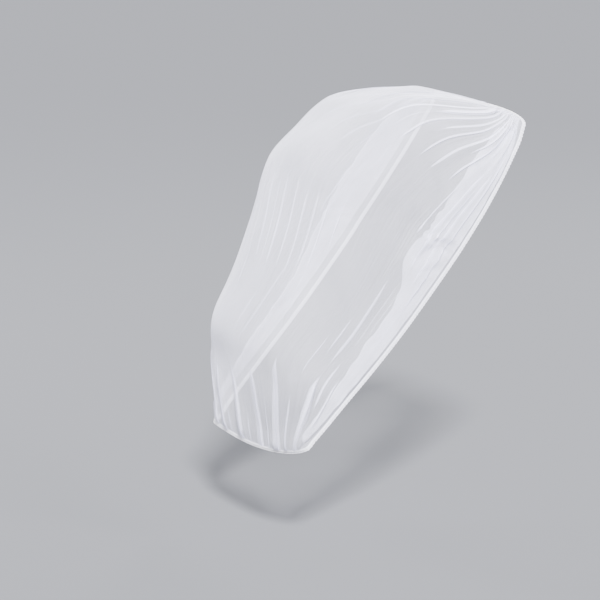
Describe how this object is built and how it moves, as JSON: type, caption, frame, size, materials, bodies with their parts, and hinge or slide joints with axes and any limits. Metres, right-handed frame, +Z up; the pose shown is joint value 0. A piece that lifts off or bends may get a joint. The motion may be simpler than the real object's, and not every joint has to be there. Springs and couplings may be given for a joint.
{
  "type": "stroller mosquito net",
  "caption": "Sheer white net cover with an elastic edge, drawn over a hooded pushchair: a hollow draped shell, open at the back and below.",
  "frame": {"origin": "underside of the net at the highest point of its spine, where it rests on the canopy that it covers", "axes": "+Z up, -Y towards the front of the pushchair, +X to the side that the picture shows"},
  "size_m": [0.466, 0.7063, 0.8104],
  "materials": {
    "net_mesh": "sheer warp-knitted polyester net, soft white",
    "elastic": "white gathered elastic binding",
    "label_tape": "blank white woven tape"
  },
  "bodies": {
    "root": {"net": "net_mesh", "elastic_edge": "elastic", "label": "label_tape"}
  },
  "joints": []
}
